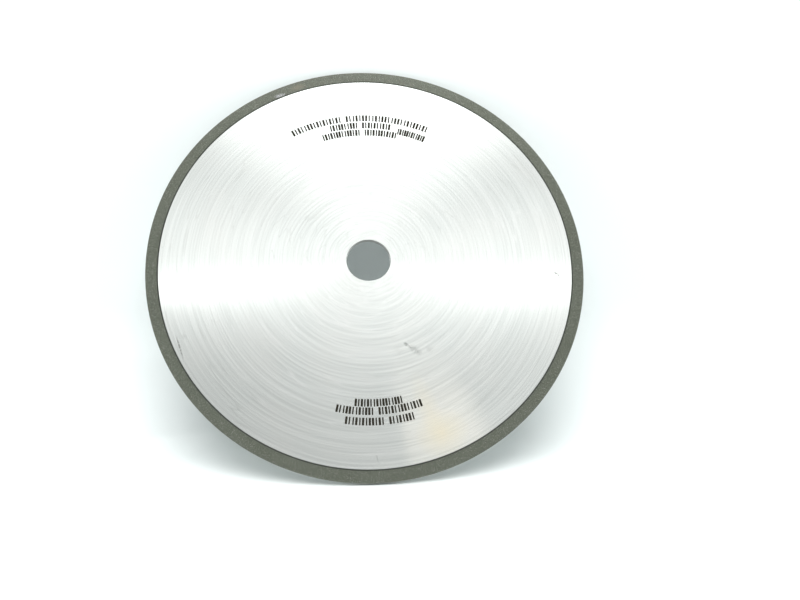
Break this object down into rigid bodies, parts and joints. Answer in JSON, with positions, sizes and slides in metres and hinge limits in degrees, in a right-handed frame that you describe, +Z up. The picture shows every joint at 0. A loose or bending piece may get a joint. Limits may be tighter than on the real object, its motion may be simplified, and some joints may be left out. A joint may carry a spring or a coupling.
{
  "type": "diamond grinding wheel",
  "caption": "Thin flat grinding wheel: a turned aluminium disc with a plain central bore and a moulded rim of resin-bonded diamond grit.",
  "frame": {"origin": "middle of the bore, halfway between the two flat faces", "axes": "+Y along the bore, the axis that the wheel spins about, out of its unmarked back face; the marked front face looks towards -Y; +Z is up when the upper row of marks stands at the top"},
  "size_m": [0.254, 0.0032, 0.254],
  "materials": {
    "core": "satin",
    "bond": "matte",
    "diamond_rim": "matte",
    "etched_mark": "matte"
  },
  "bodies": {
    "root": {"core": "core", "bond_layer": "bond", "diamond_rim": "diamond_rim"}
  },
  "joints": []
}
